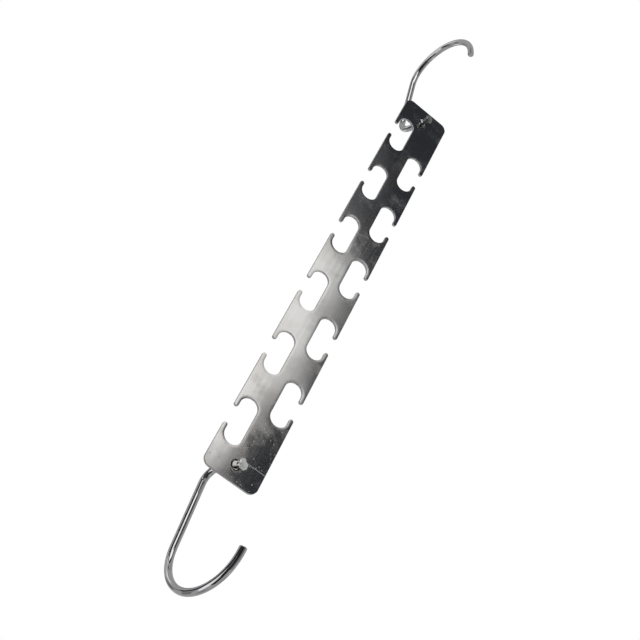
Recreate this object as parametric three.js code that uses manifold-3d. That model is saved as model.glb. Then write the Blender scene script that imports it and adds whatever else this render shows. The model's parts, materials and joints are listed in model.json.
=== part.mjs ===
// A hanger strip: a punched steel strip with open slots staggered along both edges,
// and a wire hook that turns in a loose hole at each end.
// Millimetres, +Z up, hanging from the upper hook, with the strip's front face towards -Y.
// The origin is where a rod touches the inside of the upper hook's bow.

import * as THREE from 'three';
import { mergeVertices } from 'three/addons/utils/BufferGeometryUtils.js';
import Module from 'manifold-3d';

const wasm = await Module();
wasm.setup();

const degree = Math.PI / 180;

// Strip
const stripLength = 300;
const stripThickness = 1.5;
const stripCornerRadius = 4.7;
const spineWidth = 6.1; // metal between the slots of the two edges

// Open slots: a slot's length is its mouth, a straight lip on each side and two round ends
const slotPitch = 47.5;
const slotWidth = 10.7;
const slotMouth = 11;
const slotLipThickness = 2.5; // metal between a slot and the strip's edge
const slotLipLength = 3.5;
const slotEndMargin = 15; // least length of plain strip before the first slot

// Hook wire
const wireDiameter = 4;
const hookStandoff = 19.3; // strip's middle plane to the shank's centre line
const hookElbowRadius = 9;
const hookShankReach = 45.7; // pivot axis to the start of the bow
const hookBowRadius = 24.4;
const hookBowSweep = 171 * degree;
const hookTipLength = 1.6;
const hookTipDome = 0.7;

// Pivots: the wire is loose in its hole and leans, and a hammered head keeps it there
const pivotInset = 9.2; // strip's end to the hole's centre
const pivotClearance = 0.33;
const headOverlap = 0.6; // how far the head reaches past the hole's rim
const headPlay = 2.4; // head's lowest edge to the strip's front face
const headThickness = 2;
const headEdgeRound = 0.5;
const headSeatDepth = 0.5; // how far the wire runs into its head

// How the two hooks hang: turned about the strip's normal, then leaning in the hole
const upperHookTurn = -10.9 * degree;
const upperHookLean = -16.7 * degree;
const lowerHookTurn = -5.1 * degree;
const lowerHookLean = 20.9 * degree;

// Facets
const arcSegments = 8;
const wireSides = 18;
const wireSteps = 72;
const headSides = 24;
const domeSteps = 4;
const mergeDistance = 1e-4;

// Sizes that follow
const stripWidth = 2 * (slotLipThickness + slotWidth) + spineWidth;
const slotEndRadius = slotWidth / 2;
const slotLength = slotMouth + 2 * slotLipLength + slotWidth;
const leftSlotCount = Math.floor((stripLength - 2 * slotEndMargin - slotLength) / slotPitch) + 1;
const rightSlotCount = leftSlotCount - 1;
const wireRadius = wireDiameter / 2;
const mostLean = Math.max(Math.abs(upperHookLean), Math.abs(lowerHookLean));
const leaningWireReach = wireRadius / Math.cos(mostLean) + stripThickness / 2 * Math.tan(mostLean);
const pivotHoleRadius = leaningWireReach + pivotClearance;
const pivotHeight = stripLength / 2 - pivotInset;
const headRadius = pivotHoleRadius + headOverlap;
const headRise = stripThickness / 2 + headPlay + headRadius * Math.sin(mostLean);
const headStandoff = headRise / Math.cos(mostLean);

const stripFinish = new THREE.MeshStandardMaterial({ color: 0xb4b6b8, roughness: 0.22, metalness: 1 });
const upperHookFinish = new THREE.MeshStandardMaterial({ color: 0xcfd1d3, roughness: 0.1, metalness: 1 });
const lowerHookFinish = upperHookFinish.clone();

// An arc in the YZ plane, with angles measured from +Y towards +Z
class UprightArc extends THREE.Curve {
  constructor(centre, radius, startAngle, sweep) {
    super();
    this.centre = centre;
    this.radius = radius;
    this.startAngle = startAngle;
    this.sweep = sweep;
  }

  getPoint(t, target = new THREE.Vector3()) {
    const angle = this.startAngle + this.sweep * t;
    const y = this.centre.y + this.radius * Math.cos(angle);
    const z = this.centre.z + this.radius * Math.sin(angle);
    return target.set(0, y, z);
  }
}

function toSolid(geometry) {
  const bare = geometry.clone();
  bare.deleteAttribute('normal');
  bare.deleteAttribute('uv');
  const merged = mergeVertices(bare, mergeDistance);
  const vertProperties = new Float32Array(merged.attributes.position.array);
  const triVerts = new Uint32Array(merged.index.array);
  return new wasm.Manifold(new wasm.Mesh({ numProp: 3, vertProperties, triVerts }));
}

function toGeometry(solid) {
  const mesh = solid.getMesh();
  const geometry = new THREE.BufferGeometry();
  geometry.setAttribute('position', new THREE.BufferAttribute(mesh.vertProperties, 3));
  geometry.setIndex(new THREE.BufferAttribute(mesh.triVerts, 1));
  geometry.computeVertexNormals();
  return geometry;
}

// Heights of slot centres, spread evenly about the strip's middle
function slotCentres(count) {
  const centres = [];
  for (let i = 0; i < count; i += 1) {
    centres.push((i - (count - 1) / 2) * slotPitch);
  }
  return centres;
}

// Adds one open slot to the outline: side 1 is the right edge, walked upwards,
// and side -1 is the left edge, walked downwards, which is the same slot given half a turn.
function addSlot(outline, side, centre) {
  const half = side === 1 ? 0 : Math.PI;
  const lipRound = slotLipThickness / 2;
  const lipX = side * (stripWidth / 2 - lipRound);
  const endX = side * (stripWidth / 2 - slotLipThickness - slotEndRadius);
  const lipRise = side * (slotMouth / 2 + lipRound);
  const endRise = side * (slotLength / 2 - slotEndRadius);
  outline.absarc(lipX, centre - lipRise, lipRound, half, half + Math.PI, false);
  outline.absarc(endX, centre - endRise, slotEndRadius, half, half + Math.PI, true);
  outline.absarc(endX, centre + endRise, slotEndRadius, half + Math.PI, half, true);
  outline.absarc(lipX, centre + lipRise, lipRound, half + Math.PI, half + 2 * Math.PI, false);
}

function addCorner(outline, sideX, sideZ, startAngle) {
  const x = sideX * (stripWidth / 2 - stripCornerRadius);
  const z = sideZ * (stripLength / 2 - stripCornerRadius);
  outline.absarc(x, z, stripCornerRadius, startAngle, startAngle + Math.PI / 2, false);
}

function pivotHole(height) {
  const hole = new THREE.Path();
  hole.absarc(0, height, pivotHoleRadius, 0, Math.PI, false);
  hole.absarc(0, height, pivotHoleRadius, Math.PI, 2 * Math.PI, false);
  return hole;
}

function slottedStrip() {
  const outline = new THREE.Shape();
  addCorner(outline, 1, -1, -Math.PI / 2);
  for (const centre of slotCentres(rightSlotCount)) {
    addSlot(outline, 1, centre);
  }
  addCorner(outline, 1, 1, 0);
  addCorner(outline, -1, 1, Math.PI / 2);
  for (const centre of slotCentres(leftSlotCount).reverse()) {
    addSlot(outline, -1, centre);
  }
  addCorner(outline, -1, -1, Math.PI);
  outline.closePath();
  outline.holes.push(pivotHole(pivotHeight), pivotHole(-pivotHeight));
  const sheet = new THREE.ExtrudeGeometry(outline, {
    depth: stripThickness,
    bevelEnabled: false,
    curveSegments: arcSegments,
  });
  sheet.translate(0, 0, -stripThickness / 2);
  sheet.rotateX(Math.PI / 2);
  const mesh = new THREE.Mesh(toGeometry(toSolid(sheet)), stripFinish);
  mesh.name = 'slotted_strip';
  return mesh;
}

// The wire's centre line, from its head through the hole, round the elbow, down the shank and round the bow
function hookPath() {
  const headEnd = new THREE.Vector3(0, -headStandoff - headSeatDepth, 0);
  const elbowStart = new THREE.Vector3(0, hookStandoff - hookElbowRadius, 0);
  const elbowCentre = new THREE.Vector3(0, hookStandoff - hookElbowRadius, -hookElbowRadius);
  const shankStart = new THREE.Vector3(0, hookStandoff, -hookElbowRadius);
  const shankEnd = new THREE.Vector3(0, hookStandoff, -hookShankReach);
  const bowCentre = new THREE.Vector3(0, hookStandoff - hookBowRadius, -hookShankReach);
  const bow = new UprightArc(bowCentre, hookBowRadius, 0, -hookBowSweep);
  const tipStart = bow.getPoint(1);
  const tipEnd = tipStart.clone().addScaledVector(bow.getTangent(1), hookTipLength);
  const path = new THREE.CurvePath();
  path.add(new THREE.LineCurve3(headEnd, elbowStart));
  path.add(new UprightArc(elbowCentre, hookElbowRadius, Math.PI / 2, -Math.PI / 2));
  path.add(new THREE.LineCurve3(shankStart, shankEnd));
  path.add(bow);
  path.add(new THREE.LineCurve3(tipStart, tipEnd));
  return path;
}

function wireSection() {
  const section = new THREE.Shape();
  for (let i = 0; i < wireSides; i += 1) {
    const angle = 2 * Math.PI * i / wireSides;
    const x = wireRadius * Math.cos(angle);
    const y = wireRadius * Math.sin(angle);
    if (i === 0) {
      section.moveTo(x, y);
    } else {
      section.lineTo(x, y);
    }
  }
  section.closePath();
  return section;
}

// A low dome on the wire's cut end, standing on +Y
function tipDome() {
  const profile = [new THREE.Vector2(0, -hookTipDome)];
  for (let i = 0; i <= domeSteps; i += 1) {
    const angle = Math.PI / 2 * i / domeSteps;
    const reach = i === domeSteps ? 0 : wireRadius * Math.cos(angle);
    profile.push(new THREE.Vector2(reach, hookTipDome * Math.sin(angle)));
  }
  return new THREE.LatheGeometry(profile, wireSides);
}

// The hammered head on the wire's front end, facing -Y
function rivetHead() {
  const profile = [new THREE.Vector2(0, 0), new THREE.Vector2(headRadius - headEdgeRound, 0)];
  profile.push(new THREE.Vector2(headRadius, headEdgeRound));
  profile.push(new THREE.Vector2(headRadius, headThickness - 2 * headEdgeRound));
  profile.push(new THREE.Vector2(headRadius - headEdgeRound, headThickness - headEdgeRound));
  profile.push(new THREE.Vector2(headRadius - 3 * headEdgeRound, headThickness));
  profile.push(new THREE.Vector2(0, headThickness));
  const head = new THREE.LatheGeometry(profile, headSides);
  head.rotateX(Math.PI);
  head.translate(0, -headStandoff, 0);
  return head;
}

function wireHook() {
  const path = hookPath();
  const wire = new THREE.ExtrudeGeometry(wireSection(), {
    steps: wireSteps,
    extrudePath: path,
    curveSegments: 1,
  });
  const dome = tipDome();
  const up = new THREE.Vector3(0, 1, 0);
  dome.applyQuaternion(new THREE.Quaternion().setFromUnitVectors(up, path.getTangent(1)));
  const tip = path.getPoint(1);
  dome.translate(tip.x, tip.y, tip.z);
  return toGeometry(toSolid(wire).add(toSolid(rivetHead())).add(toSolid(dome)));
}

// A hook in its hole: the outer group turns about the strip's normal, and the mesh leans in it
function placedHook(name, finish, height, turn, lean) {
  const mesh = new THREE.Mesh(wireHook(), finish);
  mesh.name = name;
  mesh.rotation.z = lean;
  const pivot = new THREE.Group();
  pivot.position.z = height;
  pivot.rotation.y = turn;
  pivot.add(mesh);
  return pivot;
}

// The highest point of the inside of a placed hook's bow
function rodSeat(pivot) {
  pivot.updateMatrixWorld(true);
  const hook = pivot.children[0];
  const centre = new THREE.Vector3(0, hookStandoff - hookBowRadius, -hookShankReach);
  const upInHook = new THREE.Vector3(0, 0, 1).transformDirection(hook.matrixWorld.clone().invert());
  const upInBow = new THREE.Vector3(0, upInHook.y, upInHook.z).normalize();
  const seat = centre.addScaledVector(upInBow, hookBowRadius - wireRadius);
  return hook.localToWorld(seat);
}

const upperHook = placedHook('upper_hook', upperHookFinish, pivotHeight, Math.PI + upperHookTurn, upperHookLean);
const lowerHook = placedHook('lower_hook', lowerHookFinish, -pivotHeight, lowerHookTurn, lowerHookLean);
const hanger = new THREE.Group();
hanger.position.copy(rodSeat(upperHook)).negate();
hanger.add(slottedStrip(), upperHook, lowerHook);

export default hanger;
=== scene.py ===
import json
import math
import bpy
from mathutils import Matrix, Vector


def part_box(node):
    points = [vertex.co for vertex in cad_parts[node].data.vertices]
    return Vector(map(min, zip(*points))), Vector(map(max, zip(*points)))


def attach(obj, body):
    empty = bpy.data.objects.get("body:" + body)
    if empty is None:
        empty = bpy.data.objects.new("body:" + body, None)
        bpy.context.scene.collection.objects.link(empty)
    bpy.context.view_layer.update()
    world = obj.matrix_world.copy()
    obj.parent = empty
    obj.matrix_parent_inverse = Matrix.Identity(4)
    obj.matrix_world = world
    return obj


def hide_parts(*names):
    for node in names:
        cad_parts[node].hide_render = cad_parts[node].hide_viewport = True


# A hanger strip with open slots along both edges and a wire hook in a loose hole at each end.
# Metres, +Z up, front of the strip towards -Y.
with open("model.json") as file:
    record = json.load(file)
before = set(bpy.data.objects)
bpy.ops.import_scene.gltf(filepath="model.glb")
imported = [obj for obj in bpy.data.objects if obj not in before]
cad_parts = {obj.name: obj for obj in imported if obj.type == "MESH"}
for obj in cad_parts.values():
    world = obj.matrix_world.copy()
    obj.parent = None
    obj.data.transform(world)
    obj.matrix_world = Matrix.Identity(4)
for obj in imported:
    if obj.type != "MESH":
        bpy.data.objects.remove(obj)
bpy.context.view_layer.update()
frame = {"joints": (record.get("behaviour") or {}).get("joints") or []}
scene = bpy.context.scene
scene.view_settings.view_transform = "Standard"
pivots = {}
for pivot in frame["joints"]:
    pivots[pivot["name"].split("_")[0]] = Vector(pivot["pos_m"])  # upper and lower


# A node socket that takes part in Python expressions, in shader and geometry trees alike
class Signal:
    def __init__(self, tree, socket=None):
        self.tree = tree
        self.socket = socket

    def make(self, kind, settings=None, sockets=None, output=0):
        node = self.tree.nodes.new(kind)
        for name, value in (settings or {}).items():
            if name == "stops":
                fillRamp(node.color_ramp, value)
            else:
                setattr(node, name, value)
        for name, value in (sockets or {}).items():
            self.feed(node.inputs[name], value)
        return Signal(self.tree, node.outputs[output] if len(node.outputs) else None)

    def feed(self, target, value):
        for item in value if isinstance(value, list) else [value]:
            if isinstance(item, Signal):
                self.tree.links.new(item.socket, target)
            else:
                target.default_value = item

    def twin(self, output):  # another output of the same node
        return Signal(self.tree, self.socket.node.outputs[output])

    def maths(self, operation, first, second=0.0):
        return self.make("ShaderNodeMath", {"operation": operation}, {0: first, 1: second})

    def __add__(self, other):
        return self.maths("ADD", self, other)

    def __sub__(self, other):
        return self.maths("SUBTRACT", self, other)

    def __rsub__(self, other):
        return self.maths("SUBTRACT", other, self)

    def __mul__(self, other):
        return self.maths("MULTIPLY", self, other)

    def __truediv__(self, other):
        return self.maths("DIVIDE", self, other)

    def __rtruediv__(self, other):
        return self.maths("DIVIDE", other, self)

    def __gt__(self, other):
        return self.maths("GREATER_THAN", self, other)

    def __lt__(self, other):
        return self.maths("LESS_THAN", self, other)

    def __abs__(self):
        return self.maths("ABSOLUTE", self)

    __radd__ = __add__
    __rmul__ = __mul__


def fillRamp(ramp, stops):
    while len(ramp.elements) < len(stops):
        ramp.elements.new(1.0)
    for element, (place, grey) in zip(ramp.elements, stops):
        element.position = place
        element.color = (grey, grey, grey, 1.0)


# Nodes that several materials and trees use

def newMaterial(name):
    material = bpy.data.materials.new(name)
    material.use_nodes = True
    material.node_tree.nodes.clear()
    return material, Signal(material.node_tree)


def noise(start, place, look):
    scale = look["scale"]
    if isinstance(scale, tuple):  # stretched along the axes
        place = start.make("ShaderNodeVectorMath", {"operation": "MULTIPLY"}, {0: place, 1: scale})
        scale = 1.0
    return start.make("ShaderNodeTexNoise", {}, {
        "Vector": place, "Scale": scale, "Detail": look["detail"], "Roughness": look["rough"]})


def ramp(start, value, stops):
    return start.make("ShaderNodeValToRGB", {"stops": stops}, {"Fac": value})


# A value between two limits becomes a value between two others
def spread(start, value, low, high, first=0.0, last=1.0):
    return start.make("ShaderNodeMapRange", {}, {
        "Value": value, "From Min": low, "From Max": high, "To Min": first, "To Max": last})


def tint(start, share, first, second):
    return start.make("ShaderNodeMix", {"data_type": "RGBA"}, {0: share, 6: first, 7: second}, output=2)


def marked(start, label, output="Fac"):
    return start.make("ShaderNodeAttribute", {"attribute_name": label}, output=output)


def finishMetal(material, start, colour, metallic, roughness, relief, depth):
    normal = start.make("ShaderNodeBump", {}, {"Strength": 1.0, "Distance": depth, "Height": relief})
    shader = start.make("ShaderNodeBsdfPrincipled", {}, {
        "Base Color": colour, "Metallic": metallic, "Roughness": roughness, "Normal": normal})
    start.make("ShaderNodeOutputMaterial", {}, {"Surface": shader})
    return material


# The strip's steel: grain and streaks along it, stains, scratches by direction, dust specks by size,
# one scored line near the lower end, the slots' edges drawn in by the punch, and painted shade that colours
# the holes' walls near black. Reliefs are in bump depths.
stripFinish = {
    "bright": (0.66, 0.66, 0.66, 1.0), "stain": (0.59, 0.565, 0.55, 1.0), "dust": (0.74, 0.74, 0.73, 1.0),
    # The near-black colour on the next line is painted shade for the holes' walls.
    "paintedHoleShade": (0.03, 0.029, 0.028, 1.0), "roughness": 0.074, "bumpDepth": 0.00004,
    "rimRoughness": 0.34, "rimMatte": 0.25,
    "grain": {"scale": (2600.0, 2600.0, 16.0), "detail": 3.0, "rough": 0.5},
    "grainRoughness": 0.06, "grainRelief": 0.05,
    "streak": {"scale": (560.0, 560.0, 13.0), "detail": 4.0, "rough": 0.65},
    "streakStops": ((0.4, 0.0), (0.66, 1.0)), "streakShare": 0.35, "streakRoughness": 0.015,
    "smudge": {"scale": 42.0, "detail": 3.0, "rough": 0.55},
    "stainStops": ((0.42, 0.0), (0.68, 1.0)), "stainRoughness": 0.03,
    "cloud": {"scale": 100.0, "detail": 4.0, "rough": 0.6},
    "cloudStops": ((0.5, 0.0), (0.72, 1.0)), "cloudRoughness": 0.085,
    "wave": {"scale": 26.0, "detail": 1.0, "rough": 0.4}, "waveRelief": 4.5,
    "scratch": {"scale": 1.0, "detail": 1.0, "rough": 0.5},
    "scratchTurns": (8, -14, 71, 97), "scratchScale": (2300.0, 1.0, 46.0),
    "scratchStops": ((0.74, 0.0), (0.80, 1.0)), "scratchRoughness": 0.1, "scratchRelief": 0.03,
    "speckSizes": ((260.0, 0.07, 0.95), (900.0, 0.26, 0.86)),  # cells per metre, size in a cell, bare share
    "speckMatte": 0.12, "speckRoughness": 0.14, "speckRelief": 0.2,
    "dustFrom": 0.03, "dustTo": 0.085, "dustAbove": 0.05,
    "scoreRise": 0.0133, "scoreStart": 0.0035, "scoreWidth": 0.00022, "scoreMatte": 0.4,
    "rollReach": 0.0018, "rollRelief": 0.7, "rollSpine": 0.45,
}


# Small round spots in some cells of a cell pattern
def specks(start, place, scale, size, sparse):
    near = start.make("ShaderNodeTexVoronoi", {}, {"Vector": place, "Scale": scale})
    pick = start.make("ShaderNodeSeparateColor", {}, {"Color": near.twin("Color")})
    return (near < size) * (pick > sparse)


# How far the punch drew the sheet's front in: 1 at a slot's edge, 0 a little way off
def punchRoll(start, aside, rise, look, sizes, halfWidth):
    halfSlot = sizes["slotWidth"] / 2
    offCentre = abs(aside) - (halfWidth - sizes["lipThickness"] - halfSlot)
    pitches = rise / sizes["slotPitch"] + (aside < 0.0) * 0.5  # the two rows are half a pitch apart
    along = abs(pitches - start.maths("ROUND", pitches)) * sizes["slotPitch"]
    beyond = start.maths("MAXIMUM", along - (sizes["slotMouth"] / 2 + sizes["lipLength"]), 0.0)
    gap = start.maths("SQRT", offCentre * offCentre + beyond * beyond) - halfSlot
    roll = spread(start, gap, 0.0, look["rollReach"], 1.0, 0.0)
    give = spread(start, offCentre, -halfSlot, halfSlot, look["rollSpine"], 1.0)  # thin lips give way more
    pastLast = abs(rise) > sizes["slotPitch"] * sizes["rightSlots"] / 2
    return roll * roll * give * (1.0 - pastLast * (aside > 0.0))


def rolledSteel(look, sizes, low, high):
    material, start = newMaterial("rolledSteel")
    middle = (low + high) / 2
    place = start.make("ShaderNodeTexCoord", output="Object")
    across = start.make("ShaderNodeSeparateXYZ", {}, {"Vector": place}, output="X")
    height = across.twin("Z")
    front = across.twin("Y") < middle.y
    rim = marked(start, "rimShare")
    hole = marked(start, "holeShare")
    grain = noise(start, place, look["grain"])
    streak = ramp(start, noise(start, place, look["streak"]), look["streakStops"])
    stain = ramp(start, noise(start, place, look["smudge"]), look["stainStops"])
    cloud = ramp(start, noise(start, place, look["cloud"]), look["cloudStops"])
    wave = noise(start, place, look["wave"])
    scratch = 0.0
    for turn in look["scratchTurns"]:
        turned = start.make("ShaderNodeMapping", {}, {
            "Vector": place, "Rotation": (0.0, math.radians(turn), 0.0), "Scale": look["scratchScale"]})
        scratch = ramp(start, noise(start, turned, look["scratch"]), look["scratchStops"]) + scratch
    speck = 0.0
    for scale, size, sparse in look["speckSizes"]:
        speck = specks(start, place, scale, size, sparse) + speck
    dustLow, dustHigh = low.z + look["dustFrom"], low.z + look["dustTo"]
    speck = speck * spread(start, height, dustLow, dustHigh, 1.0, look["dustAbove"])  # most of it lies low
    offLine = abs(height - (low.z + look["scoreRise"]))
    score = (offLine < look["scoreWidth"]) * (across > middle.x + look["scoreStart"]) * front
    roll = punchRoll(start, across - middle.x, height - middle.z, look, sizes, (high.x - low.x) / 2) * front
    colour = tint(start, stain, look["bright"], look["stain"])
    colour = tint(start, streak * look["streakShare"], colour, look["stain"])
    colour = tint(start, speck + score, colour, look["dust"])
    # Painted shade: the holes' walls are coloured near black, standing in for the dark gap around each wire.
    colour = tint(start, hole, colour, look["paintedHoleShade"])
    metallic = 1.0 - rim * look["rimMatte"] - speck * look["speckMatte"] - score * look["scoreMatte"]
    roughness = look["roughness"] + (grain - 0.5) * look["grainRoughness"] + stain * look["stainRoughness"]
    roughness = roughness + scratch * look["scratchRoughness"] + cloud * look["cloudRoughness"]
    roughness = roughness + speck * look["speckRoughness"] + streak * look["streakRoughness"]
    roughness = roughness + rim * (look["rimRoughness"] - look["roughness"])
    relief = wave * look["waveRelief"] + grain * look["grainRelief"] - scratch * look["scratchRelief"]
    relief = relief - speck * look["speckRelief"] - roll * look["rollRelief"]
    return finishMetal(material, start, colour, metallic, roughness, relief, look["bumpDepth"])


# The wires' steel: drawing lines along it, dull smudges, frosted heads, painted shade in the holes and on
# the upper head, and a painted highlight on one side of each neck
wireFinish = {
    "bright": (0.79, 0.79, 0.80, 1.0), "dull": (0.68, 0.675, 0.67, 1.0), "frosted": (0.8, 0.8, 0.79, 1.0),
    # The near-black colour here is painted shade; the white one with its matte share is a painted highlight.
    "paintedShadeColour": (0.025, 0.024, 0.023, 1.0), "worn": (1.0, 1.0, 0.99, 1.0), "paintedHighlightMatte": 1.0, "frostMatte": 0.38,
    "lines": {"scale": (26.0, 26.0, 45.0), "detail": 3.0, "rough": 0.5},
    "linesRoughness": 0.05, "linesRelief": 0.3,
    "smudge": {"scale": 120.0, "detail": 3.0, "rough": 0.55}, "smudgeRelief": 0.6,
    "dullStops": ((0.45, 0.0), (0.72, 1.0)), "dullRoughness": 0.04,
    "roughness": 0.05, "headRoughness": 0.24, "bumpDepth": 0.000004,
}


def drawnSteel(look):
    material, start = newMaterial("drawnSteel")
    place = start.make("ShaderNodeTexCoord", output="Object")
    frost = marked(start, "frostShare")
    grime = marked(start, "grimeShare")
    worn = marked(start, "wornShare")
    lines = noise(start, marked(start, "wirePlace", "Vector"), look["lines"])
    smudge = noise(start, place, look["smudge"])
    dull = ramp(start, smudge, look["dullStops"])
    colour = tint(start, dull, look["bright"], look["dull"])
    colour = tint(start, frost, colour, look["frosted"])
    # Painted shade: the wire is coloured near black where it runs through its hole, and the upper hook over
    # its head as well.
    colour = tint(start, grime, colour, look["paintedShadeColour"])
    # Painted highlight: a white matte patch on one side of each neck.
    colour = tint(start, worn, colour, look["worn"])
    metallic = 1.0 - frost * look["frostMatte"] - worn * look["paintedHighlightMatte"]
    roughness = look["roughness"] + (lines - 0.5) * look["linesRoughness"] + dull * look["dullRoughness"]
    roughness = roughness + (frost + worn) * (look["headRoughness"] - look["roughness"])
    relief = lines * look["linesRelief"] + smudge * look["smudgeRelief"]
    return finishMetal(material, start, colour, metallic, roughness, relief, look["bumpDepth"])


# Geometry Nodes helpers

socketKinds = {
    float: "NodeSocketFloat", int: "NodeSocketInt", tuple: "NodeSocketVector",
    bpy.types.Material: "NodeSocketMaterial",
}


def startTree(name, inputs):
    tree = bpy.data.node_groups.new(name, "GeometryNodeTree")
    tree.interface.new_socket("Geometry", in_out="INPUT", socket_type="NodeSocketGeometry")
    tree.interface.new_socket("Geometry", in_out="OUTPUT", socket_type="NodeSocketGeometry")
    for label, value in inputs.items():
        tree.interface.new_socket(label, in_out="INPUT", socket_type=socketKinds[type(value)])
    node = tree.nodes.new("NodeGroupInput")
    given = {socket.name: Signal(tree, socket) for socket in node.outputs}
    return tree, Signal(tree), given


def endTree(start, shape, material):
    solid = start.make("GeometryNodeRealizeInstances", {}, {"Geometry": shape})
    coated = start.make("GeometryNodeSetMaterial", {}, {"Geometry": solid, "Material": material})
    start.make("NodeGroupOutput", {}, {"Geometry": coated})


def growPiece(name, source, tree, inputs):
    modifier = source.modifiers.new(name, "NODES")
    modifier.node_group = tree
    for item in tree.interface.items_tree:
        if item.in_out == "INPUT" and item.name in inputs:
            modifier[item.identifier] = inputs[item.name]
    scene.collection.objects.link(source)
    graph = bpy.context.evaluated_depsgraph_get()
    grown = source.evaluated_get(graph)
    mesh = bpy.data.meshes.new_from_object(grown, preserve_all_data_layers=True, depsgraph=graph)
    source.modifiers.remove(modifier)
    bpy.data.objects.remove(source)
    piece = bpy.data.objects.new(name, mesh)
    scene.collection.objects.link(piece)
    print(name, "has", len(mesh.polygons), "faces")
    return piece


def vector(start, x, y, z):
    return start.make("ShaderNodeCombineXYZ", {}, {"X": x, "Y": y, "Z": z})


def joined(start, shapes):
    return start.make("GeometryNodeJoinGeometry", {}, {"Geometry": shapes})


def keep(start, shape, label, value, kind="FLOAT", domain="POINT"):
    return start.make("GeometryNodeStoreNamedAttribute", {"data_type": kind, "domain": domain}, {
        "Geometry": shape, "Name": label, "Value": value})


def kept(start, label, kind="FLOAT"):
    return start.make("GeometryNodeInputNamedAttribute", {"data_type": kind}, {"Name": label})


def smooth(start, shape, on):
    return start.make("GeometryNodeSetShadeSmooth", {}, {"Geometry": shape, "Shade Smooth": on})


# The strip: its overall size and place are the CAD node's
stripSizes = {
    "slotPitch": 0.0475, "slotWidth": 0.0107, "slotMouth": 0.011, "leftSlots": 6, "rightSlots": 5,
    "lipThickness": 0.0025, "lipLength": 0.0035, "cornerRadius": 0.0047, "holeRadius": 0.00276,
    "holeWaist": 0.00058, "edgeRound": 0.00016, "arcSteps": 12, "roundSteps": 3, "mergeGap": 0.000002,
}
# The outline's points are walked by number: the right edge's first corner, its slots and its last corner,
# then the left edge in the same way
walkOrders = {"slots": 100.0, "lastCorner": 1000.0, "leftEdge": 2000.0}


# Corners of one open slot of the right edge, walked upwards, each with the radius that rounds it
def slotCorners(sizes, halfWidth):
    inset = sizes["edgeRound"]
    edge = halfWidth - inset
    lipInside = halfWidth - sizes["lipThickness"] + inset
    spine = halfWidth - sizes["lipThickness"] - sizes["slotWidth"] - inset
    mouth = sizes["slotMouth"] / 2 + inset
    reach = sizes["slotMouth"] / 2 + sizes["lipLength"] + sizes["slotWidth"] / 2 + inset
    tipRound = sizes["lipThickness"] / 2 - inset
    endRound = sizes["slotWidth"] / 2 + inset
    lower = [(edge, -mouth, tipRound), (lipInside, -mouth, tipRound), (lipInside, -reach, endRound),
             (spine, -reach, endRound)]
    corners = lower + [(x, -y, radius) for x, y, radius in reversed(lower)]
    mesh = bpy.data.meshes.new("slotCorners")
    mesh.from_pydata([(x, y, 0.0) for x, y, radius in corners], [], [])
    rounding = mesh.attributes.new("cornerRound", "FLOAT", "POINT")
    rounding.data.foreach_set("value", [radius for x, y, radius in corners])
    return bpy.data.objects.new("slotCorners", mesh)


def pointRow(start, count, first, gap):
    return start.make("GeometryNodeMeshLine", {}, {"Count": count, "Start Location": first, "Offset": gap})


# One long edge: its two strip corners and its slots, in walking order
def edgePoints(start, given, side, slots, firstOrder):
    index = start.make("GeometryNodeInputIndex")
    edge = (given["Width"] / 2 - given["Edge Round"]) * side
    end = (given["Length"] / 2 - given["Edge Round"]) * side
    corners = pointRow(start, 2, vector(start, edge, 0.0 - end, 0.0), vector(start, 0.0, end * 2.0, 0.0))
    corners = keep(start, corners, "cornerRound", given["Corner Radius"] - given["Edge Round"])
    corners = keep(start, corners, "walkOrder", index * walkOrders["lastCorner"] + firstOrder)
    pitch = given["Slot Pitch"] * side
    lowest = vector(start, 0.0, (slots - 1) * pitch * -0.5, 0.0)
    rows = start.make("GeometryNodeInstanceOnPoints", {}, {
        "Points": pointRow(start, slots, lowest, vector(start, 0.0, pitch, 0.0)),
        "Instance": given["Geometry"], "Rotation": (0.0, 0.0, 0.0 if side > 0 else math.pi)})
    rows = start.make("GeometryNodeRealizeInstances", {}, {"Geometry": rows})
    rows = keep(start, rows, "walkOrder", index + (firstOrder + walkOrders["slots"]))
    return [corners, rows]


def rimSection(start, given, points, outward, across):
    line = start.make("GeometryNodeMeshLine", {}, {"Count": points})
    line = start.make("GeometryNodeSetPosition", {}, {
        "Geometry": line, "Position": vector(start, outward, across, 0.0)})
    section = start.make("GeometryNodeMeshToCurve", {}, {"Mesh": line})
    return start.make("GeometryNodeFilletCurve", {"mode": "POLY"}, {
        "Curve": section, "Count": given["Round Steps"], "Radius": given["Edge Round"]})


# A C-shaped section: half the sheet's outline at a cut edge, with both rims rounded
def edgeSection(start, given):
    index = start.make("GeometryNodeInputIndex")
    outward = (index > 0.5) * (index < 2.5) * given["Edge Round"]
    across = ((index > 1.5) - 0.5) * given["Thickness"]
    return rimSection(start, given, 4, outward, across)


# The same for a hole's wall, which closes to a waist half-way through
def holeSection(start, given):
    index = start.make("GeometryNodeInputIndex")
    waist = (index > 1.5) * (index < 2.5) * given["Hole Waist"]
    outward = (index > 0.5) * (index < 3.5) * given["Edge Round"] + waist
    across = ((index > 1.5) + (index > 2.5) - 1.0) * given["Thickness"] / 2
    return rimSection(start, given, 5, outward, across)


def sweep(start, path, section):
    upright = start.make("GeometryNodeSetCurveNormal", {"mode": "Z_UP"}, {"Curve": path})
    return upright, start.make("GeometryNodeCurveToMesh", {}, {"Curve": upright, "Profile Curve": section})


def moved(start, shape, lift):
    return start.make("GeometryNodeTransform", {}, {
        "Geometry": shape, "Translation": vector(start, 0.0, 0.0, lift)})


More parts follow.
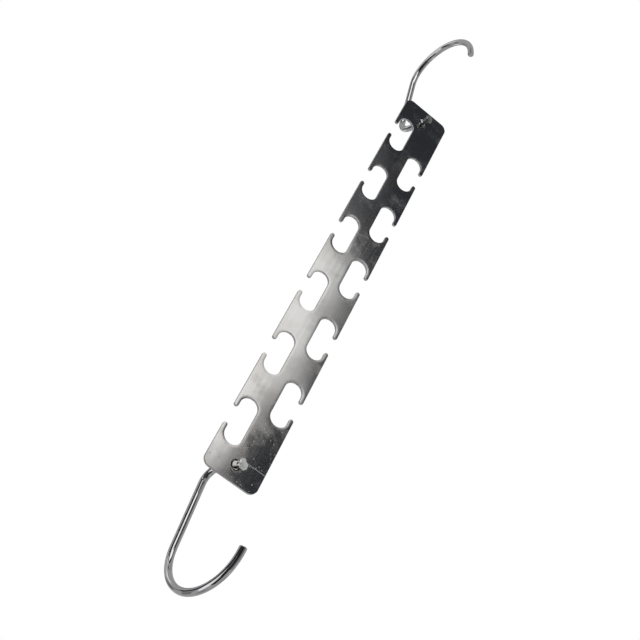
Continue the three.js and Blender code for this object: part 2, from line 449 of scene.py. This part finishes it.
def stripTree(inputs, mergeGap):
    tree, start, given = startTree("slottedStripTree", inputs)
    points = edgePoints(start, given, 1.0, given["Right Slots"], 0.0)
    points += edgePoints(start, given, -1.0, given["Left Slots"], walkOrders["leftEdge"])
    points = start.make("GeometryNodeMeshToPoints", {}, {"Mesh": joined(start, points)})
    outline = start.make("GeometryNodePointsToCurves", {}, {
        "Points": points, "Weight": kept(start, "walkOrder")})
    outline = start.make("GeometryNodeSetSplineCyclic", {}, {"Geometry": outline, "Cyclic": True})
    outline = start.make("GeometryNodeFilletCurve", {"mode": "POLY"}, {
        "Curve": outline, "Count": given["Arc Steps"], "Radius": kept(start, "cornerRound"),
        "Limit Radius": True})
    ring = start.make("GeometryNodeCurvePrimitiveCircle", {}, {
        "Resolution": given["Arc Steps"] * 4, "Radius": given["Hole Radius"] + given["Edge Round"]})
    ring = start.make("GeometryNodeReverseCurve", {}, {"Curve": ring})
    lowerHole = vector(start, 0.0, 0.0 - given["Hole Height"], 0.0)
    holeSpots = pointRow(start, 2, lowerHole, vector(start, 0.0, given["Hole Height"] * 2.0, 0.0))
    holes = start.make("GeometryNodeInstanceOnPoints", {}, {"Points": holeSpots, "Instance": ring})
    holes = start.make("GeometryNodeRealizeInstances", {}, {"Geometry": holes})
    outline, rim = sweep(start, outline, edgeSection(start, given))
    holes, walls = sweep(start, holes, holeSection(start, given))
    walls = keep(start, walls, "holeShare", 1.0, domain="FACE")
    rim = smooth(start, joined(start, [rim, walls]), True)
    rim = keep(start, rim, "rimShare", 1.0, domain="FACE")
    outlines = joined(start, [outline, holes])
    face = start.make("GeometryNodeFillCurve", {"mode": "TRIANGLES"}, {"Curve": outlines})
    face = smooth(start, face, False)
    half = given["Thickness"] / 2
    front = moved(start, face, half)
    back = moved(start, start.make("GeometryNodeFlipFaces", {}, {"Mesh": face}), 0.0 - half)
    sheet = joined(start, [rim, front, back])
    sheet = start.make("GeometryNodeMergeByDistance", {}, {"Geometry": sheet, "Distance": mergeGap})
    sheet = start.make("GeometryNodeTransform", {}, {
        "Geometry": sheet, "Translation": given["Spot"], "Rotation": (math.radians(90), 0.0, 0.0)})
    endTree(start, sheet, given["Material"])
    return tree


def makeStrip(sizes):
    low, high = (Vector(corner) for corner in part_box("slotted_strip"))
    size = high - low
    middle = (low + high) / 2
    inputs = {
        "Length": size.z, "Width": size.x, "Thickness": size.y, "Spot": tuple(middle),
        "Corner Radius": sizes["cornerRadius"], "Slot Pitch": sizes["slotPitch"],
        "Left Slots": sizes["leftSlots"], "Right Slots": sizes["rightSlots"],
        "Hole Radius": sizes["holeRadius"], "Hole Waist": sizes["holeWaist"],
        "Hole Height": pivots["upper"].z - middle.z,
        "Edge Round": sizes["edgeRound"], "Arc Steps": sizes["arcSteps"], "Round Steps": sizes["roundSteps"],
        "Material": rolledSteel(stripFinish, sizes, low, high),
    }
    tree = stripTree(inputs, sizes["mergeGap"])
    strip = growPiece("punchedStrip", slotCorners(sizes, size.x / 2), tree, inputs)
    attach(strip, "strip")
    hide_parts("slotted_strip")


# The hooks: one bent wire for both, each with its own pose, head and marks
hookSizes = {
    "wireRadius": 0.002, "standoff": 0.0193, "elbowRadius": 0.009, "shankReach": 0.0457,
    "bowRadius": 0.0244, "bowSweep": 171, "step": 0.0006, "sides": 40,
    "tipLength": 0.0016, "tipRound": 0.0007, "tipSteps": 6, "tipTaper": 0.9,
    "headStandoff": 0.00465, "headThickness": 0.002, "headFade": 1.3,
    "neckStart": 0.00015, "neckSwell": 1.06, "neckEnd": 0.0004,
    "dents": {"scale": 520.0, "detail": 3.0, "rough": 0.5}, "dentLevel": 0.72, "dentGain": 2.0,
    "paintedShadeTo": 0.0097, "paintedHighlightFacing": (0.45, 0.75),
}
# The hammered head from its face back: share of its thickness, share of its radius
headOutline = [
    (0.0, 0.06), (0.01, 0.2), (0.025, 0.34), (0.05, 0.5), (0.1, 0.68), (0.2, 0.85),
    (0.4, 0.96), (0.6, 1.0), (0.8, 0.98), (0.92, 0.9), (1.0, 0.76),
]
# Angles in degrees. The painted shade and the painted highlight run along the wire from the head's face, and
# -1 takes in the face itself.
hookLeans = {
    # The upper hook's head and neck are darkened by painted shade; on the lower hook it covers only the wire
    # in the hole.
    "upper": {"turn": 169.1, "lean": -16.7, "headRadius": 0.003, "hammerDepth": 0.0006, "frost": 0.0,
              "paintedShadeFrom": -1.0, "grime": 0.62,
              "paintedHighlightFrom": 0.0052, "paintedHighlightTo": 0.0063, "paintedHighlightSide": (-0.9, -0.2, -0.4)},
    "lower": {"turn": -5.1, "lean": 20.9, "headRadius": 0.00345, "hammerDepth": 0.0011, "frost": 1.0,
              "paintedShadeFrom": 0.0068, "grime": 1.0,
              "paintedHighlightFrom": 0.0042, "paintedHighlightTo": 0.0068, "paintedHighlightSide": (-0.93, -0.36, 0.0)},
}


def arcPoints(centreY, centreZ, radius, startAngle, endAngle, step):
    count = max(2, round(abs(math.radians(endAngle - startAngle)) * radius / step))
    angles = [math.radians(startAngle + (endAngle - startAngle) * i / count) for i in range(1, count + 1)]
    return [(centreY + radius * math.cos(a), centreZ + radius * math.sin(a)) for a in angles]


def linePoints(first, last, step):
    count = max(1, round(math.dist(first, last) / step))
    return [tuple(a + (b - a) * i / count for a, b in zip(first, last)) for i in range(1, count + 1)]


# The wire's centre line in its own plane, from the head's face to the tip, with the radius at each point
def hookRoute(sizes, headRadius):
    wire, step, head = sizes["wireRadius"], sizes["step"], sizes["headThickness"]
    face = -sizes["headStandoff"] - head
    route = [(face + head * depth, 0.0, headRadius * share) for depth, share in headOutline]
    headEnd = route[-1][0]
    route.append((headEnd + sizes["neckStart"], 0.0, wire * sizes["neckSwell"]))
    route.append((headEnd + sizes["neckEnd"], 0.0, wire))
    elbowY, elbowZ = sizes["standoff"] - sizes["elbowRadius"], -sizes["elbowRadius"]
    plain = linePoints((route[-1][0], 0.0), (elbowY, 0.0), step)
    plain += arcPoints(elbowY, elbowZ, sizes["elbowRadius"], 90, 0, step)
    plain += linePoints((sizes["standoff"], elbowZ), (sizes["standoff"], -sizes["shankReach"]), step)
    bowY = sizes["standoff"] - sizes["bowRadius"]
    plain += arcPoints(bowY, -sizes["shankReach"], sizes["bowRadius"], 0, -sizes["bowSweep"], step)
    heading = math.radians(-sizes["bowSweep"] - 90)
    ahead = (math.cos(heading), math.sin(heading))
    bowEnd = plain[-1]
    tip = tuple(a + b * sizes["tipLength"] for a, b in zip(bowEnd, ahead))
    plain += linePoints(bowEnd, tip, step)
    route += [(y, z, wire) for y, z in plain]
    for i in range(1, sizes["tipSteps"] + 1):  # the cut end, rounded over
        angle = math.radians(90 * i / sizes["tipSteps"])
        over = sizes["tipRound"] * math.sin(angle)
        radius = wire * (1 - sizes["tipTaper"] * (1 - math.cos(angle)) ** 2)
        route.append((tip[0] + ahead[0] * over, tip[1] + ahead[1] * over, radius))
    return route


def wirePath(name, route, placing):
    path = bpy.data.curves.new(name, "CURVE")
    path.dimensions = "3D"
    spline = path.splines.new("POLY")
    spline.points.add(len(route) - 1)
    for point, (y, z, radius) in zip(spline.points, route):
        point.co = (*(placing @ Vector((0.0, y, z))), 1.0)
        point.radius = radius
    return bpy.data.objects.new(name, path)


def hookTree(inputs, sizes):
    tree, start, given = startTree("wireHookTree", inputs)
    length = start.make("GeometryNodeSplineParameter", output="Length")
    here = start.make("GeometryNodeInputPosition")
    normal = start.make("GeometryNodeInputNormal")
    path = keep(start, given["Geometry"], "wireLength", length)
    ring = start.make("GeometryNodeCurvePrimitiveCircle", {}, {"Resolution": given["Sides"], "Radius": 1.0})
    ring = keep(start, ring, "ringPlace", here, "FLOAT_VECTOR")
    radius = start.make("GeometryNodeInputRadius")
    wire = start.make("GeometryNodeCurveToMesh", {}, {
        "Curve": path, "Profile Curve": ring, "Scale": radius, "Fill Caps": True})
    along = kept(start, "wireLength")
    wirePlace = start.make("ShaderNodeVectorMath", {"operation": "ADD"}, {
        0: kept(start, "ringPlace", "FLOAT_VECTOR"), 1: vector(start, 0.0, 0.0, along)})
    wire = keep(start, wire, "wirePlace", wirePlace, "FLOAT_VECTOR")
    wire = keep(start, wire, "frostShare", (along < given["Head Length"]) * given["Frost"])
    # Painted highlight: the patch lies on the neck's side that faces the given direction, fading with the
    # facing.
    facing = start.make("ShaderNodeVectorMath", {"operation": "DOT_PRODUCT"}, {
        0: normal, 1: given["Worn Side"]}, output="Value")
    worn = (along > given["Worn From"]) * (along < given["Worn To"])
    wire = keep(start, wire, "wornShare", worn * spread(start, facing, *sizes["paintedHighlightFacing"]))
    # Painted shade along the wire through its hole, and for the upper hook from its head's face on.
    grime = (along > given["Grime From"]) * (along < given["Grime To"])
    wire = keep(start, wire, "grimeShare", grime * given["Grime"])
    headEnd = given["Head Length"] * sizes["headFade"]
    headShare = spread(start, along, given["Head Length"], headEnd, 1.0, 0.0)
    dents = noise(start, here, sizes["dents"]) - sizes["dentLevel"]
    sink = dents * given["Hammer Depth"] * headShare * sizes["dentGain"]
    push = start.make("ShaderNodeVectorMath", {"operation": "SCALE"}, {0: normal, "Scale": sink})
    wire = start.make("GeometryNodeSetPosition", {}, {"Geometry": wire, "Offset": push})
    endTree(start, smooth(start, wire, True), given["Material"])
    return tree


def makeHooks(sizes):
    shared = {"Sides": sizes["sides"], "Head Length": sizes["headThickness"], "Grime To": sizes["paintedShadeTo"],
              "Material": drawnSteel(wireFinish)}
    tree = None
    for end, own in hookLeans.items():
        inputs = shared | {
            "Hammer Depth": own["hammerDepth"], "Frost": own["frost"],
            "Grime From": own["paintedShadeFrom"], "Grime": own["grime"],
            "Worn From": own["paintedHighlightFrom"], "Worn To": own["paintedHighlightTo"], "Worn Side": own["paintedHighlightSide"]}
        tree = tree or hookTree(inputs, sizes)
        placing = Matrix.Translation(pivots[end])
        placing = placing @ Matrix.Rotation(math.radians(own["turn"]), 4, "Y")
        placing = placing @ Matrix.Rotation(math.radians(own["lean"]), 4, "Z")
        source = wirePath(end + "HookPath", hookRoute(sizes, own["headRadius"]), placing)
        hook = growPiece(end + "HookWire", source, tree, inputs)
        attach(hook, end + "_hook")
        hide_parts(end + "_hook")


makeStrip(stripSizes)
makeHooks(hookSizes)
print("pieces made")


# Studio: a pale floor, white all round for the camera, and a grey room of cards that only mirror images show
studio = {
    "floorHeight": -1.5, "floorRadius": 4.5, "floorCorners": 96, "floorRoughness": 0.8,
    "floorPale": (0.86, 0.86, 0.87, 1.0), "floorDark": (0.82, 0.82, 0.83, 1.0),
    "floorMottle": {"scale": 3.0, "detail": 3.0, "rough": 0.5},
    "roomLow": (-1.7, -1.8, -1.45), "roomHigh": (1.7, 1.8, 2.4), "roomGrey": (0.36, 0.36, 0.365),
    "lampPlace": (0.0, 0.2, 1.6), "lampSize": 1.6, "lampPower": 24.0, "skyLight": 0.7,
}
# Soft-edged panels, seen from the front: a rounded right end, then the far corners. Each ring of the fade is
# the outline grown or shrunk about the centre, with its share of the light.
frontPanel = {
    "middle": (0.356, 0.935), "reach": 0.032, "rise": 0.057, "drop": 1.02,
    "from": 85, "to": -20, "steps": 14,
    "far": [(0.352, 0.53), (0.348, 0.42), (0.33, 0.33), (0.26, 0.3), (0.2, 0.42), (-0.15, 0.42),
            (-0.3, 0.08), (-1.25, 0.08), (-1.6, 0.5), (-1.6, 1.75), (0.29, 1.05)],
    "centre": (-0.6, 0.8), "fade": ((1.045, 0.0), (0.965, 0.84), (0.88, 1.0)), "place": -1.394,
    "sharpBelow": 0.56, "sharpAbove": 0.97, "sharp": 0.4,
    "light": (1.17, 1.165, 1.14, 1.0), "shade": (0.026, 0.029, 0.035, 1.0),
}
backPanel = {
    "middle": (0.1, -0.4), "reach": 0.25, "rise": 0.3, "drop": 0.35,
    "from": 85, "to": -85, "steps": 14,
    "far": [(-0.3, -0.7), (-0.35, -0.4), (-0.3, -0.15)],
    "centre": (0.0, -0.4), "fade": ((1.8, 0.0), (1.1, 0.6), (0.6, 1.0)), "place": 1.7,
    "sharpBelow": -2.0, "sharpAbove": 2.0, "sharp": 1.0,
    "light": (0.85, 0.85, 0.85, 1.0), "shade": (0.36, 0.36, 0.365, 1.0),
}


def panelCorners(look):
    corners = []
    for i in range(look["steps"] + 1):
        angle = math.radians(look["from"] + (look["to"] - look["from"]) * i / look["steps"])
        tall = look["rise"] if angle > 0 else look["drop"]
        corners.append((look["middle"][0] + look["reach"] * math.cos(angle),
                        look["middle"][1] + tall * math.sin(angle)))
    return corners + look["far"]


def rectangle(low, high):
    return [low, (low[0], high[1]), high, (high[0], low[1])]


# Each card: the axis it lies square to and its place there, its light, its corners along the other two axes
cards = {
    "frontUpperFlag": ("y", -1.45, (0.03, 0.033, 0.039), rectangle((-1.65, -0.15), (0.52, 2.3))),
    "frontHaze": ("y", -1.44, (0.066, 0.069, 0.075), rectangle((0.1, 1.06), (0.39, 1.35))),
    "frontLeftHaze": ("y", -1.435, (0.105, 0.108, 0.113), rectangle((0.1, 1.1), (0.35, 1.39))),
    "frontLowerFlag": ("y", -1.45, (0.016, 0.017, 0.019), rectangle((-1.65, -1.44), (0.35, -0.15))),
    "frontRightGrey": ("y", -1.46, (0.13, 0.13, 0.135), rectangle((0.3, -1.44), (1.65, 2.3))),
    "frontMat": ("z", -1.44, (0.016, 0.017, 0.019), [
        (-0.5, -0.3), (-0.7, -0.85), (-1.25, -1.05), (-1.25, -1.45), (0.3, -1.45), (0.3, -0.3)]),
    "backMat": ("z", -1.44, (0.18, 0.18, 0.182), rectangle((-1.66, 0.55), (-0.45, 1.3))),
    "underMat": ("z", -1.44, (0.2, 0.2, 0.202), rectangle((-0.12, 0.05), (0.5, 0.5))),
    "leftSill": ("z", -1.43, (0.95, 0.95, 0.95), rectangle((-0.75, -0.35), (-0.55, 0.15))),
    "leftWindow": ("x", -0.75, (0.95, 0.95, 0.95), [
        (-0.47, -1.4), (-0.425, -0.19), (0.03, -0.19), (0.1, -0.62), (0.2, -1.4)]),
    "leftShankFlag": ("x", -0.76, (0.05, 0.05, 0.052), rectangle((-0.46, -0.19), (0.05, -0.045))),
    "upperShankWindow": ("x", -1.24, (1.0, 1.0, 1.0), rectangle((-1.39, 0.9), (-0.66, 1.45))),
    "leftUpperWindow": ("x", -1.2, (0.8, 0.8, 0.8), rectangle((-0.22, -0.05), (0.6, 0.6))),
    "leftFrontFlag": ("x", -1.25, (0.036, 0.038, 0.042), rectangle((-1.45, -0.3), (-0.5, 2.2))),
    "leftMiddleFlag": ("x", -1.25, (0.1, 0.1, 0.103), rectangle((-0.5, 0.7), (0.4, 0.95))),
    "leftBackFlag": ("x", -0.74, (0.07, 0.07, 0.075), rectangle((0.1, -0.65), (0.27, -0.02))),
    "elbowFlag": ("x", -0.05, (0.09, 0.09, 0.095), rectangle((0.033, -0.11), (0.065, -0.068))),
    "leftLowFlag": ("x", -1.25, (0.04, 0.04, 0.042), rectangle((-1.45, -1.44), (-0.55, -0.3))),
    "leftBackGrey": ("x", -1.66, (0.17, 0.17, 0.172), rectangle((0.8, -0.5), (1.7, -0.1))),
    "leftBackLow": ("x", -1.66, (0.1, 0.1, 0.102), rectangle((0.5, -1.44), (1.3, -1.15))),
    "backLeftGrey": ("y", 1.69, (0.17, 0.17, 0.172), rectangle((-1.68, -0.9), (-0.5, -0.25))),
    "leftCornerGrey": ("x", -1.24, (0.2, 0.2, 0.202), rectangle((-1.44, -1.05), (-1.0, -0.4))),
    "rightWindow": ("x", 1.6, (0.8, 0.8, 0.8), rectangle((-0.22, -1.1), (0.16, -0.3))),
    "rightFrontFlag": ("x", 1.6, (0.14, 0.14, 0.145), rectangle((-0.8, -1.1), (-0.22, -0.3))),
    "rightBackFlag": ("x", 1.6, (0.14, 0.14, 0.145), rectangle((0.16, -1.1), (0.8, -0.3))),
    "backFlag": ("y", 1.79, (0.2, 0.2, 0.202), rectangle((-1.3, 0.35), (0.15, 1.3))),
    "leftBand": ("x", -0.35, (0.03, 0.03, 0.032), rectangle((-0.3, -0.5), (0.22, -0.3))),
}


def stageMesh(name, corners, faces, material):
    mesh = bpy.data.meshes.new(name)
    mesh.from_pydata(corners, [], faces)
    mesh.materials.append(material)
    item = bpy.data.objects.new(name, mesh)
    scene.collection.objects.link(item)
    return item


def glow(start, colour):
    light = start.make("ShaderNodeEmission", {}, {"Color": colour, "Strength": 1.0})
    start.make("ShaderNodeOutputMaterial", {}, {"Surface": light})


def glowing(name, colour):
    material, start = newMaterial(name)
    glow(start, (*colour, 1.0))
    return material


def mirrorOnly(item):
    item.visible_camera = False
    item.visible_diffuse = False
    item.visible_shadow = False


def makeCard(name, axis, place, light, outline):
    corners = []
    for pair in outline:
        corner = list(pair)
        corner.insert("xyz".index(axis), place)
        corners.append(corner)
    mirrorOnly(stageMesh(name, corners, [tuple(range(len(corners)))], glowing(name + "Light", light)))


# The panel fades out across a soft edge, which is narrower sideways near its top and bottom
def makePanel(name, look):
    material, start = newMaterial(name + "Light")
    glow(start, tint(start, marked(start, "glow"), look["shade"], look["light"]))
    outline = panelCorners(look)
    count = len(outline)
    middle = look["centre"]
    corners, shares, faces = [], [], []
    for ring, (size, share) in enumerate(look["fade"]):
        for i, (x, z) in enumerate(outline):
            soft = 1 if look["sharpBelow"] < z < look["sharpAbove"] else look["sharp"]
            aside = (x - middle[0]) * (size - 1) * soft
            corners.append((x + aside, look["place"], z + (z - middle[1]) * (size - 1)))
            shares.append(share)
            if ring:
                here, following = ring * count + i, ring * count + (i + 1) % count
                faces.append((here - count, following - count, following, here))
    faces.append(tuple(range(len(corners) - count, len(corners))))
    item = stageMesh(name, corners, faces, material)
    item.data.attributes.new("glow", "FLOAT", "POINT").data.foreach_set("value", shares)
    mirrorOnly(item)


def makeRoom(look):
    (x0, y0, z0), (x1, y1, z1) = look["roomLow"], look["roomHigh"]
    corners = [(x, y, z) for x in (x0, x1) for y in (y0, y1) for z in (z0, z1)]
    faces = [(0, 1, 3, 2), (4, 5, 7, 6), (0, 1, 5, 4), (2, 3, 7, 6), (0, 2, 6, 4), (1, 3, 7, 5)]
    mirrorOnly(stageMesh("greyRoom", corners, faces, glowing("greyRoomLight", look["roomGrey"])))


def makeFloor(look):
    material, start = newMaterial("paleFloor")
    mottle = noise(start, start.make("ShaderNodeTexCoord", output="Object"), look["floorMottle"])
    colour = tint(start, mottle, look["floorPale"], look["floorDark"])
    shader = start.make("ShaderNodeBsdfPrincipled", {}, {
        "Base Color": colour, "Roughness": look["floorRoughness"]})
    start.make("ShaderNodeOutputMaterial", {}, {"Surface": shader})
    count, radius, level = look["floorCorners"], look["floorRadius"], look["floorHeight"]
    turns = [2 * math.pi * i / count for i in range(count)]
    corners = [(radius * math.cos(turn), radius * math.sin(turn), level) for turn in turns]
    stageMesh("paleFloor", corners, [tuple(range(count))], material)


# White for the camera, mirrors and glass, less as a light
def makeWorld(look):
    world = bpy.data.worlds.new("whiteRoom")
    world.use_nodes = True
    world.node_tree.nodes.clear()
    start = Signal(world.node_tree)
    seen = start.make("ShaderNodeLightPath", output="Is Camera Ray")
    mirrored = seen.twin("Is Glossy Ray")
    through = seen.twin("Is Transmission Ray")
    plain = 1 - (1 - seen) * (1 - mirrored) * (1 - through)
    strength = look["skyLight"] + (1 - look["skyLight"]) * plain
    sky = start.make("ShaderNodeBackground", {}, {"Color": (1.0, 1.0, 1.0, 1.0), "Strength": strength})
    start.make("ShaderNodeOutputWorld", {}, {"Surface": sky})
    scene.world = world


def makeLamp(look):
    lamp = bpy.data.lights.new("overheadLamp", "AREA")
    lamp.size = look["lampSize"]
    lamp.energy = look["lampPower"]
    holder = bpy.data.objects.new("overheadLamp", lamp)
    holder.location = look["lampPlace"]
    holder.visible_glossy = False
    scene.collection.objects.link(holder)


makeFloor(studio)
makeWorld(studio)
makeRoom(studio)
makePanel("frontPanel", frontPanel)
makePanel("backPanel", backPanel)
for cardName, card in cards.items():
    makeCard(cardName, *card)
makeLamp(studio)


# The photo's camera: angles in degrees, lens and sensor in millimetres
view = {
    "eye": (-0.10986, -0.46544, -0.59971), "heading": 14.692, "rise": 36.026, "roll": 28.449,
    "lens": 61.311, "sensor": 36.0, "nearest": 0.01,
}


def makeCamera(look):
    lens = bpy.data.cameras.new("photoCamera")
    lens.sensor_width = look["sensor"]
    lens.lens = look["lens"]
    lens.clip_start = look["nearest"]
    camera = bpy.data.objects.new("photoCamera", lens)
    aim = Matrix.Rotation(math.radians(-look["heading"]), 4, "Z")
    aim = aim @ Matrix.Rotation(math.radians(90 + look["rise"]), 4, "X")
    aim = aim @ Matrix.Rotation(math.radians(look["roll"]), 4, "Z")
    camera.matrix_world = Matrix.Translation(look["eye"]) @ aim
    scene.collection.objects.link(camera)
    scene.camera = camera


makeCamera(view)
print("studio and camera made")
